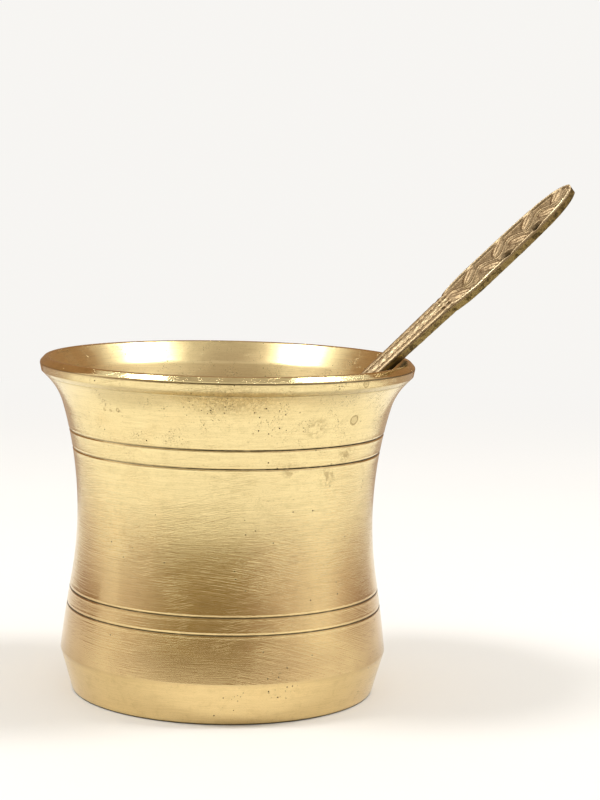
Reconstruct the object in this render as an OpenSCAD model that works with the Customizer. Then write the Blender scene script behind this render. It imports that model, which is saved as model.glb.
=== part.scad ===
// Panchpatra: a turned brass water cup with its loose ritual spoon leaning in it.
// Millimetres, +Z up. The origin is the centre of the cup's base, and the spoon leans towards +X.

/* [Cup] */
// Diameter over the lip
mouth_d = 84; // [76:0.5:104]
// Height from the base to the top of the lip
cup_h = 75.4; // [62:0.2:92]
// Outside diameter at the waist
waist_d = 66.7; // [58:0.1:71]
// Height of the waist above the base
waist_z = 40; // [34:0.5:46]
// Diameter at the crease above the foot band
crease_d = 73.6; // [70:0.1:90]
// Height of the crease above the base
crease_z = 9.4; // [7:0.1:14]
// Height of the swell above the crease
swell_h = 16; // [8:0.2:20]
// Straightness of the swell, from an upright start at the crease to an even slope at 1
swell_flat = 0.65; // [0:0.05:0.9]
// Thickness of the wall at the waist
wall = 2.2; // [1.2:0.1:3.2]
// Thickness of the floor
floor_t = 3; // [2:0.1:4.5]
// Radius between the floor and the wall, inside
corner_r = 6; // [3:0.5:8]

/* [Lip] */
// Height of the lip's edge
lip_edge_h = 2.9; // [2:0.1:4]
// Radius over the top of the lip
lip_round = 1; // [0.6:0.1:1.3]
// Radius at the lower corner of the lip's edge
lip_corner = 0.3; // [0.1:0.1:0.6]
// How far the lip's edge stands out past the neck
lip_flare = 1.6; // [0.8:0.1:4]
// Slope of the lip's underside
lip_slope = 45; // [35:1:55]
// Radius where the wall turns out under the lip
neck_r = 14; // [5:0.5:18]
// Width of the sloping face inside the lip
lip_face_w = 5.3; // [4:0.1:7]
// Depth of that face below the top of the lip
lip_face_h = 4.9; // [3.5:0.1:6]

/* [Grooves] */
// Width of each turned groove
groove_w = 0.7; // [0.4:0.1:1.2]
// Drop from the top of the lip to the upper pair
upper_drop = 16.2; // [12:0.2:26]
// Distance between the grooves of the upper pair
upper_gap = 4.1; // [2:0.1:6]
// Height of the lowest groove above the base
lower_z = 19.8; // [16:0.2:26]
// Distance between the grooves of the lower pair
lower_gap = 3.7; // [2:0.1:6]

/* [Foot] */
// Diameter of the foot band at the base
base_d = 68.2; // [62:0.1:73]
// Radius of the edge that the cup stands on
base_edge = 0.6; // [0.2:0.1:1.5]
// Diameter of the shallow recess under the base
recess_d = 54; // [40:1:60]
// Depth of that recess
recess_h = 0.8; // [0.3:0.1:1.5]

/* [Spoon bowl] */
// Diameter over the bowl's rim
bowl_d = 26; // [21:0.5:32]
// Depth of the bowl, inside
bowl_depth = 7; // [5:0.5:8.5]
// Thickness of the bowl's wall
bowl_wall = 1.3; // [0.8:0.1:2]

/* [Spoon handle] */
// Distance from the bowl's centre to the leaf
stem_l = 104; // [84:1:125]
// Width of the stem at the end of its neck
stem_w = 3.4; // [2.8:0.1:5]
// Width of the stem where it meets the leaf
stem_top_w = 5.8; // [4.5:0.1:7]
// Width of the neck where it joins the bowl
root_w = 8; // [6:0.5:11]
// Length of the neck's bend
neck_l = 22; // [14:1:30]
// Rise of the handle over the neck's root
neck_rise = 5.2; // [3:0.1:8]
// Thickness of the handle
handle_t = 2.4; // [1.8:0.1:3.2]

/* [Spoon leaf] */
// Length of the leaf that ends the handle
leaf_l = 38.5; // [28:1:50]
// Greatest width of the leaf
leaf_w = 7.9; // [7:0.1:12]
// Narrowing of the leaf at its shoulder
shoulder_in = 0.9; // [0.4:0.1:1.2]
// Length of the leaf's shoulder
shoulder_l = 8; // [4:0.5:12]
// Width of the raised border round the leaf
border_w = 0.9; // [0.6:0.1:1.4]
// Depth of the sunk field inside the border
field_depth = 0.5; // [0.2:0.1:0.9]

/* [Seat of the spoon] */
// Gap left where the spoon rests on the lip and on the floor
rest_gap = 0.3; // [0.2:0.05:0.6]
// Gap between the bowl and the wall beside it, measured level
toe_gap = 0.5; // [0.3:0.1:4]
// Roll of the spoon about its handle
roll = 25; // [0:1:40]

/* [Hidden] */
$fn = 96;
arc_sag = 0.01;
tip_step = 6;
stem_parts = 36;
tip_power = 6;
swell_power = 3;
sink = 0.3;
tall = 40;
near_rim = 3;
settle_steps = 12;
turn_steps = 12;
belly_step = 5;
belly_parts = 6;

// Points of an arc about a centre, from one angle to another, that stray from it by less than arc_sag
function arc(c, r, a, b) =
    let (n = max(2, ceil(abs(b - a) / (2 * acos(1 - arc_sag / r)))))
    [for (i = [0:n]) c + r * [cos(a + (b - a) * i / n), sin(a + (b - a) * i / n)]];

// Cup: the outside, from the crease up to the lip
waist = [waist_d / 2, waist_z];
crease = [crease_d / 2, crease_z];
lip_low = [mouth_d / 2, cup_h - lip_edge_h];
neck = lip_low - lip_flare * [1, tan(lip_slope)];
top_centre = [mouth_d / 2 - lip_round, cup_h - lip_round];

// Two arcs that leave the crease at a share of their greatest slope and reach the waist upright
hollow_h = waist[1] - crease[1] - swell_h;
function spread(turn) = swell_h * tan((1 + swell_flat) * turn / 2) + hollow_h * tan(turn / 2);
function settle_turn(turn, steps) =
    steps == 0 ? turn : settle_turn(turn * (crease[0] - waist[0]) / spread(turn), steps - 1);
swell_turn = settle_turn(2 * atan2(crease[0] - waist[0], waist[1] - crease[1]), turn_steps);
swell_lean = swell_flat * swell_turn;
swell_r = swell_h / (sin(swell_turn) - sin(swell_lean));
hollow_r = hollow_h / sin(swell_turn);
swell_centre = crease - swell_r * [cos(swell_lean), sin(swell_lean)];
hollow_centre = waist + [hollow_r, 0];

// Two arcs that leave the waist upright and reach the lip's underside along its slope
lean_r = neck[0] - waist[0] - neck_r * (1 - sin(lip_slope));
lean_z = neck[1] - waist[1] - neck_r * cos(lip_slope);
lean_turn = 2 * atan2(lean_r, lean_z);

// In a cup too wide for both, one arc turns as far as that slope and the wall runs on straight
wide = lean_turn > 90 - lip_slope;
run = neck - waist;
wide_r = (run[1] * cos(lip_slope) - run[0] * sin(lip_slope)) / (1 - sin(lip_slope));
flare_turn = wide ? 90 - lip_slope : lean_turn;
flare_r = wide ? wide_r : lean_z / sin(lean_turn) + neck_r;
flare_centre = waist + [flare_r, 0];
neck_centre = flare_centre - (flare_r - neck_r) * [cos(flare_turn), -sin(flare_turn)];
neck_line = wide ? [neck] : arc(neck_centre, neck_r, 180 - flare_turn, 90 + lip_slope);

wall_line = concat(
    arc(swell_centre, swell_r, swell_lean, swell_turn),
    arc(hollow_centre, hollow_r, 180 + swell_turn, 180),
    arc(flare_centre, flare_r, 180, 180 - flare_turn),
    neck_line
);

// Radius of the wall's outside at a height
function wall_r(z) = lookup(z, [for (p = wall_line) [p[1], p[0]]]);

// Cup: the lip, over its edge and down to the crease inside the mouth
throat = [mouth_d / 2 - lip_face_w, cup_h - lip_face_h];
to_throat = throat - top_centre;
face_turn = atan2(to_throat[1], to_throat[0]) + 360 - acos(lip_round / norm(to_throat));
lip_line = concat(
    arc(lip_low + lip_corner * [-1, 1], lip_corner, lip_slope - 90, 0),
    arc(top_centre, lip_round, 0, face_turn)
);

// Cup: the inside, a wall's thickness within the swell and the foot band, down to the floor
inner_waist = waist - [wall, 0];
inner_turn = 2 * atan2(throat[0] - inner_waist[0], throat[1] - waist[1]);
inner_r = (throat[1] - waist[1]) / sin(inner_turn);
foot_tilt = atan2(crease_d / 2 - base_d / 2, crease_z);
bisect = (swell_lean - foot_tilt) / 2;
inner_crease = crease - wall / cos((swell_lean + foot_tilt) / 2) * [cos(bisect), sin(bisect)];
crease_turn = asin((inner_crease[1] - swell_centre[1]) / (swell_r - wall));
corner = min(corner_r, (inner_crease[1] - floor_t) / (1 - sin(foot_tilt)));
corner_down = (inner_crease[1] - floor_t - corner * (1 - sin(foot_tilt))) / cos(foot_tilt);
corner_centre = inner_crease - corner_down * [sin(foot_tilt), cos(foot_tilt)]
    + corner * [-cos(foot_tilt), sin(foot_tilt)];
inside_line = concat(
    arc(inner_waist + [inner_r, 0], inner_r, 180 - inner_turn, 180),
    arc(hollow_centre, hollow_r + wall, 180, 180 + swell_turn),
    arc(swell_centre, swell_r - wall, swell_turn, crease_turn),
    arc(corner_centre, corner, -foot_tilt, -90),
    [[0, floor_t]]
);

// Radius of the inside at a height
function inside_r(z) = lookup(z, [for (p = inside_line) [p[1], p[0]]]);

// Cup: the base, with its recess and the rounded edge of the foot band
edge_centre = [base_d / 2 + base_edge * tan(foot_tilt) - base_edge / cos(foot_tilt), base_edge];
base_line = concat(
    [[0, recess_h], [recess_d / 2 - recess_h, recess_h], [recess_d / 2, 0]],
    arc(edge_centre, base_edge, -90, -foot_tilt)
);
cup_outline = concat(base_line, wall_line, lip_line, inside_line);
groove_heights = [cup_h - upper_drop, cup_h - upper_drop - upper_gap, lower_z + lower_gap, lower_z];

// Spoon: the bowl is a cap of a ball, whose centre lies above the rim
ball_r = (pow(bowl_d / 2, 2) / (bowl_wall + bowl_depth) - bowl_wall + bowl_depth) / 2;
ball_up = ball_r - bowl_depth;
belly_r = ball_r + bowl_wall;
rim_angle = acos(ball_up / belly_r);
neck_root = sqrt(pow(ball_r, 2) - pow(ball_up, 2)) - bowl_wall;
rim_level = handle_t / 2 + sink - neck_rise;

// Spoon: half of the handle's width at a distance from the bowl's centre
neck_end = neck_root + neck_l;
function stem_half(x) =
    let (along = max(0, (x - neck_end) / (stem_l - neck_end)))
    let (flare = max(0, (neck_end - x) / neck_l))
    let (swell = (stem_top_w - stem_w) * pow(along, swell_power))
    (stem_w + swell + (root_w - stem_w) * pow(flare, 2)) / 2;
function leaf_shape(u, inset) =
    let (shoulder = max(0, 1 - u * leaf_l / shoulder_l))
    (leaf_w / 2 - inset - shoulder_in * pow(shoulder, 2)) * sqrt(1 - pow(u, tip_power));
function handle_half(x) = x < stem_l ? stem_half(x) : leaf_shape(min(1, (x - stem_l) / leaf_l), 0);

// Spoon: one side of the handle's outline, and of the leaf's, drawn in by an even border
function leaf_side(inset) =
    [for (a = [0:tip_step:90]) [stem_l + inset + (leaf_l - 2 * inset) * sin(a), leaf_shape(sin(a), inset)]];
stem_step = (stem_l - neck_root) / stem_parts;
stem_side = [for (x = [neck_root:stem_step:stem_l]) [x, stem_half(x)]];
handle_side = concat(stem_side, leaf_side(0));

// A whole outline from one side that ends on the middle line
function both_sides(side) = concat(side, [for (i = [len(side) - 2:-1:0]) [side[i][0], -side[i][1]]]);

// Spoon: the handle's middle line seen from the side, with the neck's double bend
bend = 2 * atan2(neck_rise, neck_l);
bend_r = neck_l / (2 * sin(bend));
handle_rise = concat(
    arc([neck_root, bend_r - neck_rise], bend_r, -90, bend - 90),
    arc([neck_end, -bend_r], bend_r, 90 + bend, 90),
    [[stem_l + leaf_l, 0]]
);
handle_slab = concat(
    [for (p = handle_rise) p + [0, handle_t / 2]],
    [for (i = [len(handle_rise) - 1:-1:0]) handle_rise[i] - [0, handle_t / 2]]
);

// Seat: the belly stands on the floor, and the handle lies on the round of the lip
ball_off = (rim_level + ball_up) * cos(roll);
ball_side = (rim_level + ball_up) * sin(roll);
ball_z = floor_t + rest_gap + belly_r;

// Seat: a point of the belly, from the ball's centre, at a turn round the bowl and an angle up its side
function belly_point(turn, up, lean) =
    let (out = belly_r * sin(up), down = belly_r * cos(up))
    let (side = out * sin(turn) * cos(roll) + down * sin(roll) - ball_side)
    let (rise = out * sin(turn) * sin(roll) - down * cos(roll))
    [out * cos(turn) * cos(lean) - rise * sin(lean), side, out * cos(turn) * sin(lean) + rise * cos(lean)];

// Seat: the ball's centre lies where no point of the belly comes nearer to the wall than the gap
function ball_x(lean) = max([
    for (turn = [0:belly_step:360 - belly_step], part = [1:belly_parts])
        let (p = belly_point(turn, rim_angle * part / belly_parts, lean))
        -sqrt(pow(inside_r(ball_z + p[2]) - toe_gap, 2) - pow(p[1], 2)) - p[0]
]);
function reach(lean) =
    (top_centre[0] - ball_x(lean)) * cos(lean) + (top_centre[1] - ball_z) * sin(lean);
function under(x) =
    max([for (d = [-near_rim, 0, near_rim]) handle_half(x + d)]) * sin(roll) + handle_t / 2 * cos(roll);
function next_lean(lean) =
    let (run = top_centre[0] - ball_x(lean), rise = top_centre[1] - ball_z)
    let (over = under(reach(lean)) + rest_gap + lip_round + ball_off)
    atan2(rise, run) + asin(over / norm([run, rise]));
function settle(lean, steps) = steps == 0 ? lean : settle(next_lean(lean), steps - 1);
lean = settle(45, settle_steps);

module vessel() {
    color("#cfb47c")
    rotate_extrude()
    difference() {
        polygon(cup_outline);
        for (z = groove_heights) translate([wall_r(z), z]) circle(d = groove_w, $fn = 24);
    }
}

// A cap of a ball below the bowl's rim, with the ball's poles turned out of the cap
module bowl_cap(r, over) {
    intersection() {
        translate([0, 0, rim_level + ball_up]) rotate([90, 0, 0]) sphere(r);
        translate([-belly_r, -belly_r, rim_level - tall]) cube([2 * belly_r, 2 * belly_r, tall + over]);
    }
}

// The spoon lying level, with its bowl's centre at the origin and its handle along +X
module level_spoon() {
    difference() {
        union() {
            bowl_cap(belly_r, 0);
            handle();
        }
        bowl_cap(ball_r, sink);
        translate([0, 0, handle_t / 2 - field_depth])
            linear_extrude(tall) polygon(both_sides(leaf_side(border_w)));
    }
}

// The handle is its plan outline and its bent side outline, crossed
module handle() {
    intersection() {
        translate([0, 0, -tall / 2]) linear_extrude(tall) polygon(both_sides(handle_side));
        rotate([90, 0, 0]) linear_extrude(tall, center = true) polygon(handle_slab);
    }
}

module spoon() {
    color("#a5946a")
    translate([ball_x(lean), 0, ball_z])
        rotate([0, -lean, 0])
            translate([0, 0, -ball_off])
                rotate([roll, 0, 0])
                    level_spoon();
}

vessel();
spoon();
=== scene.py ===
import math
from functools import reduce
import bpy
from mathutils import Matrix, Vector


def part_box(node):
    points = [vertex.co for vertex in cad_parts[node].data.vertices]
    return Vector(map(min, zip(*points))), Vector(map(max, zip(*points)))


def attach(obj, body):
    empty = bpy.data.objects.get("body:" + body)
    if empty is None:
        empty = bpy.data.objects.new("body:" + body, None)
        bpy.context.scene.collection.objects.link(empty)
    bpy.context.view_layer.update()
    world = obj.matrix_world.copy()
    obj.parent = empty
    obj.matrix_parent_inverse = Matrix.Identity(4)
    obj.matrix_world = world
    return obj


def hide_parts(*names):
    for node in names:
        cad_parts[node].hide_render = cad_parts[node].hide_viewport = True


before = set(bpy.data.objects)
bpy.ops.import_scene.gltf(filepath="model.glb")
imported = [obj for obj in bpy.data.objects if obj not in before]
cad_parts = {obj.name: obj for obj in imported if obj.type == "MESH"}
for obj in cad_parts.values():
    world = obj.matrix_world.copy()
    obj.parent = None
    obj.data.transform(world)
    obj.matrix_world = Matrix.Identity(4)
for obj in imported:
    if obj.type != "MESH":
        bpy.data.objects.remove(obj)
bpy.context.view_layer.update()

from types import SimpleNamespace

import bmesh
import bpy
from bpy.props import FloatProperty, FloatVectorProperty, IntProperty, PointerProperty
from mathutils import Matrix, Vector, noise

bl_info = {
    "name": "Brass water cup and spoon",
    "version": (1, 0, 0),
    "blender": (4, 5, 0),
    "location": "View3D > Sidebar > Brass cup",
    "description": "Builds a turned brass cup and its cast spoon on their packed frame",
    "category": "Object",
}

CUP_LOW, CUP_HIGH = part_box("vessel")
MM = 0.001


# Properties

def length(title, words, millimetres, low=0.0001, high=0.3):
    """A size in metres, written in millimetres."""
    return FloatProperty(name=title, description=words, default=millimetres * MM, min=low, max=high,
                         precision=5, unit="LENGTH")


def colour(title, words, value):
    """A linear colour."""
    return FloatVectorProperty(name=title, description=words, default=value, min=0.0, max=1.0, size=3,
                               subtype="COLOR")


def share(title, words, value, high=1.0):
    """A plain number between nothing and its highest."""
    return FloatProperty(name=title, description=words, default=value, min=0.0, max=high, subtype="FACTOR")


class CupSizes(bpy.types.PropertyGroup):
    """Sizes of the turned cup."""
    mouth_d: length("Mouth", "Diameter over the lip", (CUP_HIGH.x - CUP_LOW.x) / MM)
    cup_h: length("Height", "Height from the base to the top of the lip", CUP_HIGH.z / MM)
    waist_d: length("Waist", "Outside diameter at the waist", 66.7)
    waist_z: length("Waist height", "Height of the waist above the base", 40)
    crease_d: length("Crease", "Diameter at the crease above the foot band", 73.6)
    crease_z: length("Crease height", "Height of the crease above the base", 9.4)
    swell_h: length("Swell", "Height of the swell above the crease", 16)
    swell_flat: share("Swell straightness", "From an upright start at the crease to an even slope", 0.65, 0.9)
    wall: length("Wall", "Thickness of the wall at the waist", 2.2)
    floor_t: length("Floor", "Thickness of the floor", 3)
    corner_r: length("Corner", "Radius between the floor and the wall, inside", 6)
    lip_edge_h: length("Lip edge", "Height of the lip's edge", 2.9)
    lip_round: length("Lip round", "Radius over the top of the lip", 1)
    lip_flare: length("Lip flare", "How far the lip's edge stands out past the neck", 1.6)
    neck_r: length("Neck", "Radius where the wall turns out under the lip", 14)
    lip_face_w: length("Lip face", "Width of the sloping face inside the lip", 5.3)
    lip_face_h: length("Lip face depth", "Depth of that face below the top of the lip", 4.9)
    groove_w: length("Groove", "Width of each turned groove", 0.7)
    upper_drop: length("Upper pair", "Drop from the top of the lip to the upper pair of grooves", 16.2)
    upper_gap: length("Upper gap", "Distance between the grooves of the upper pair", 4.1)
    lower_z: length("Lower pair", "Height of the lowest groove above the base", 19.8)
    lower_gap: length("Lower gap", "Distance between the grooves of the lower pair", 3.7)
    base_d: length("Base", "Diameter of the foot band at the base", 68.2)
    base_edge: length("Base edge", "Radius of the edge that the cup stands on", 0.6)
    recess_d: length("Recess", "Diameter of the shallow recess under the base", 54)
    recess_h: length("Recess depth", "Depth of that recess", 0.8)
    turns: IntProperty(name="Turns", description="Facets round the cup", default=232, min=32, max=360)


class SpoonSizes(bpy.types.PropertyGroup):
    """Sizes of the cast spoon and its place in the cup."""
    bowl_d: length("Bowl", "Diameter over the bowl's rim", 26)
    bowl_depth: length("Bowl depth", "Depth of the bowl, inside", 7)
    bowl_wall: length("Bowl wall", "Thickness of the bowl's wall", 1.3)
    stem_l: length("Stem", "Distance from the bowl's centre to the leaf", 104)
    stem_w: length("Stem width", "Width of the stem at the end of its neck", 3.4)
    stem_top_w: length("Stem top", "Width of the stem where it meets the leaf", 5.8)
    root_w: length("Root", "Width of the neck where it joins the bowl", 8)
    neck_l: length("Neck", "Length of the neck's bend", 22)
    neck_rise: length("Neck rise", "Rise of the handle over the neck's root", 5.2)
    handle_t: length("Thickness", "Thickness of the handle", 2.4)
    leaf_l: length("Leaf", "Length of the leaf that ends the handle", 38.5)
    leaf_w: length("Leaf width", "Greatest width of the leaf", 7.9)
    shoulder_in: length("Shoulder", "Narrowing of the leaf at its shoulder", 0.9)
    shoulder_l: length("Shoulder length", "Length of the leaf's shoulder", 8)
    border_w: length("Border", "Width of the raised border round the leaf", 0.9)
    field_depth: length("Field", "Depth of the sunk field inside the border", 0.5)
    sink: length("Sink", "Drop of the neck's top below the bowl's rim", 0.3)
    ball_x: FloatProperty(name="Bowl place", description="Place of the bowl's centre along X",
                          default=-26.1787 * MM, precision=5, unit="LENGTH")
    ball_z: length("Bowl height", "Height of the bowl's centre over the base", 17.6307)
    lean: FloatProperty(name="Lean", description="Slope of the handle over the level",
                        default=math.radians(43.7805), subtype="ANGLE", unit="ROTATION")
    roll: FloatProperty(name="Roll", description="Turn of the spoon about its handle",
                        default=math.radians(25), subtype="ANGLE", unit="ROTATION")


class BrassFinish(bpy.types.PropertyGroup):
    """Colours and wear of the two brasses, with the colours of their painted shade and painted highlights."""
    bright: colour("Turned brass", "Clean turned brass of the cup", (0.93, 0.765, 0.40))
    warm: colour("Warm brass", "Warmer patches of the cup", (0.88, 0.66, 0.315))
    # Painted shade: darker brass standing in for the darker reflection low on the cup's wall and on the back of
    # the inside
    aged: colour("Aged brass", "Aged patches low on the cup's wall", (0.47, 0.305, 0.15))
    stain: colour("Stain", "Grey brown tarnish on the cup", (0.40, 0.30, 0.13))
    # Also the colour of painted shade: under the lip, along the base, beside the spoon's handle and under that
    # handle inside the cup
    soil: colour("Soil", "Dark soil in the grooves and pits", (0.035, 0.024, 0.009))
    cast: colour("Cast brass", "Face of the cast spoon", (0.39, 0.288, 0.165))
    olive: colour("Olive tarnish", "Tarnish on the spoon's sides and back", (0.28, 0.205, 0.065))
    brown: colour("Brown hollows", "Tarnish in the hollows of the spoon's face", (0.185, 0.13, 0.068))
    # Also painted highlight: the rubbed colour is laid brightest where the leaf's front border catches the
    # light
    rubbed: colour("Rubbed brass", "Bright brass on the spoon's rubbed ridges", (0.90, 0.77, 0.49))
    cup_roughness: share("Cup roughness", "Roughness of the turned brass", 0.18)
    spoon_roughness: share("Spoon roughness", "Roughness of the cast brass", 0.48)


class StageSettings(bpy.types.PropertyGroup):
    """Floor, light and camera."""
    floor: colour("Floor", "Colour of the floor", (0.86, 0.84, 0.80))
    sky: colour("Surround", "Colour of the pale surround", (0.93, 0.915, 0.89))
    card: colour("Dark card", "Colour of the dark card before the cup", (0.31, 0.235, 0.135))
    rear: colour("Rear card", "Colour of the card behind the cup", (0.34, 0.20, 0.11))
    card_near: length("Card distance", "Distance from the cup to the floor card's near edge", 235, high=3.0)
    ring: length("Card ring", "Radius of the ring of cards round the cup", 1900, high=5.0)
    overhead: colour("Overhead card", "Colour of the card over the cup", (0.52, 0.47, 0.42))
    lamp_power: FloatProperty(name="Lamp power", description="Power of each side lamp", default=5.5, min=0.0,
                              unit="POWER")
    ambient: share("Ambient", "Strength of the surround as light on matt surfaces", 0.74, high=2.0)


# Mesh helpers

def in_millimetres(group):
    """The values of a property group, its lengths in millimetres."""
    found = SimpleNamespace()
    for name in group.__annotations__:
        value = getattr(group, name)
        setattr(found, name, value / MM if group.bl_rna.properties[name].unit == "LENGTH" else value)
    return found


def arc(centre, radius, start, end, step=0.4):
    """Points of an arc from one angle to another, in degrees, about a step apart."""
    count = max(3, math.ceil(abs(math.radians(end - start)) * radius / step))
    turn = [math.radians(start + (end - start) * i / count) for i in range(count + 1)]
    return [(centre[0] + radius * math.cos(a), centre[1] + radius * math.sin(a)) for a in turn]


def line(a, b, step=0.8):
    """Points between two ends, without the ends."""
    count = max(1, math.ceil(math.dist(a, b) / step))
    return [(a[0] + (b[0] - a[0]) * i / count, a[1] + (b[1] - a[1]) * i / count) for i in range(1, count)]


def rounded(before, corner, after, radius, count=5):
    """Points of a small round where two straight lines meet."""
    p, q, r = Vector(before), Vector(corner), Vector(after)
    u, v = (p - q).normalized(), (r - q).normalized()
    half = u.angle(v) / 2
    reach = radius / math.tan(half)
    centre = q + (u + v).normalized() * (radius / math.sin(half))
    first, last = q + u * reach - centre, q + v * reach - centre
    turn = first.angle_signed(last) if first.length * last.length > 0 else 0
    return [tuple(centre + Matrix.Rotation(-turn * i / count, 2) @ first) for i in range(count + 1)]


def smoothstep(low, high, value):
    """Zero below one edge, one above the other, and smooth between them."""
    if low == high:
        return 0.0 if value < low else 1.0
    t = min(1.0, max(0.0, (value - low) / (high - low)))
    return t * t * (3 - 2 * t)


def bump(offset, width):
    """A smooth hill of height one and a half width."""
    return math.exp(-((offset / width) ** 2))


def new_object(name, mesh):
    """Links a mesh to the scene as an object."""
    made = bpy.data.objects.new(name, mesh)
    bpy.context.scene.collection.objects.link(made)
    return made


def to_mesh(bm, name):
    """Turns a bmesh into a mesh with smooth faces."""
    for face in bm.faces:
        face.smooth = True
    mesh = bpy.data.meshes.new(name)
    bm.to_mesh(mesh)
    bm.free()
    return mesh


def spun(profile, turns):
    """A closed body spun from a profile that starts and ends on the axis."""
    bm = bmesh.new()
    points = [bm.verts.new((r, 0, z)) for r, z in profile]
    edges = [bm.edges.new(pair) for pair in zip(points, points[1:])]
    bmesh.ops.spin(
        bm, geom=points + edges, cent=(0, 0, 0), axis=(0, 0, 1), dvec=(0, 0, 0),
        angle=math.tau, steps=turns, use_merge=True, use_duplicate=False,
    )
    bmesh.ops.remove_doubles(bm, verts=bm.verts, dist=1e-5)
    bmesh.ops.recalc_face_normals(bm, faces=bm.faces)
    if bm.calc_volume(signed=True) < 0:
        bmesh.ops.reverse_faces(bm, faces=bm.faces)
    return bm


def store(mesh, names, marks):
    """Keeps a few numbers at each vertex for the materials."""
    for name, values in zip(names, zip(*marks)):
        layer = mesh.attributes.new(name, "FLOAT", "POINT")
        layer.data.foreach_set("value", values)


# Cup

CUP_MARKS = ("soil", "inside", "lip")

# Depths of the four grooves as shares of half their width, and the height of the burr beside them
GROOVE_DEPTHS = (0.45, 0.45, 0.12, 0.16)
BURR = 0.012

# Small rounds in millimetres
RECESS_ROUND = 0.25
CREASE_ROUND = 0.4
LIP_CORNER = 0.15
THROAT_ROUND = 3.5

# The mark of the tool under the lip: its rise over the neck, half its width and its depth
MARK_RISE = 0.2
MARK_HALF = 0.18
MARK_DEPTH = 0.06

# The lip's crown as shares of its round: how far in, how far down, its radius and that of the outer ridge
CROWN_IN, CROWN_DOWN, CROWN_ROUND, RIDGE_ROUND = 1.4, 0.85, 0.75, 0.8

# Slope of the bevel from the crown to the ridge, and lean of the lip's edge below it
BEVEL, UNDERCUT = math.radians(42), math.radians(11.6)

# Distances between the points of the wall's outside and inside
WALL_STEP, INNER_STEP = 0.7, 0.9


def groove_heights(s):
    """Heights of the four turned grooves, from the top down."""
    upper = s.cup_h - s.upper_drop
    return [upper, upper - s.upper_gap, s.lower_z + s.lower_gap, s.lower_z]


def cup_curves(s):
    """The radii and centres of the cup's wall, as the frame has them."""
    c = SimpleNamespace()
    c.waist, c.crease = (s.waist_d / 2, s.waist_z), (s.crease_d / 2, s.crease_z)
    fall, out = c.waist[1] - c.crease[1], c.crease[0] - c.waist[0]
    turn = 2 * math.atan2(out, fall)
    for _ in range(12):
        swell = s.swell_h * math.tan((1 + s.swell_flat) * turn / 2)
        turn *= out / (swell + (fall - s.swell_h) * math.tan(turn / 2))
    c.swell_turn, c.swell_lean = turn, s.swell_flat * turn
    c.swell_r = s.swell_h / (math.sin(turn) - math.sin(c.swell_lean))
    c.swell_centre = (
        c.crease[0] - c.swell_r * math.cos(c.swell_lean),
        c.crease[1] - c.swell_r * math.sin(c.swell_lean),
    )
    c.hollow_r = (fall - s.swell_h) / math.sin(turn)
    c.lip_low = (s.mouth_d / 2, s.cup_h - s.lip_edge_h)
    c.neck = (c.lip_low[0] - s.lip_flare, c.lip_low[1] - s.lip_flare)
    c.tool_mark = c.neck[1] + MARK_RISE
    slope = math.radians(45)
    lean_r = c.neck[0] - c.waist[0] - s.neck_r * (1 - math.sin(slope))
    lean_z = c.neck[1] - c.waist[1] - s.neck_r * math.cos(slope)
    c.flare_turn = 2 * math.atan2(lean_r, lean_z)
    c.flare_r = lean_z / math.sin(c.flare_turn) + s.neck_r
    reach = c.flare_r - s.neck_r
    c.neck_centre = (
        c.waist[0] + c.flare_r - reach * math.cos(c.flare_turn),
        c.waist[1] + reach * math.sin(c.flare_turn),
    )
    return c


def wall_radius(s, c, z):
    """Radius of the wall's outside at a height between the crease and the neck."""
    if z < c.crease[1] + s.swell_h:
        return c.swell_centre[0] + math.sqrt(c.swell_r ** 2 - (z - c.swell_centre[1]) ** 2)
    if z < c.waist[1]:
        return c.waist[0] + c.hollow_r - math.sqrt(c.hollow_r ** 2 - (z - c.waist[1]) ** 2)
    if z < c.waist[1] + c.flare_r * math.sin(c.flare_turn):
        return c.waist[0] + c.flare_r - math.sqrt(c.flare_r ** 2 - (z - c.waist[1]) ** 2)
    return c.neck_centre[0] - math.sqrt(s.neck_r ** 2 - (z - c.neck_centre[1]) ** 2)


def groove_cut(s, z):
    """Depth of the grooves at a height, with the faint burr that the tool leaves beside each."""
    half = s.groove_w / 2
    cut = 0.0
    for place, deep in zip(groove_heights(s), GROOVE_DEPTHS):
        away = abs(z - place) / half
        if away < 1:
            cut += deep * half * (1 - away ** 1.7)
        elif away < 2:
            cut -= BURR * math.sin((away - 1) * math.pi)
    return cut


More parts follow.
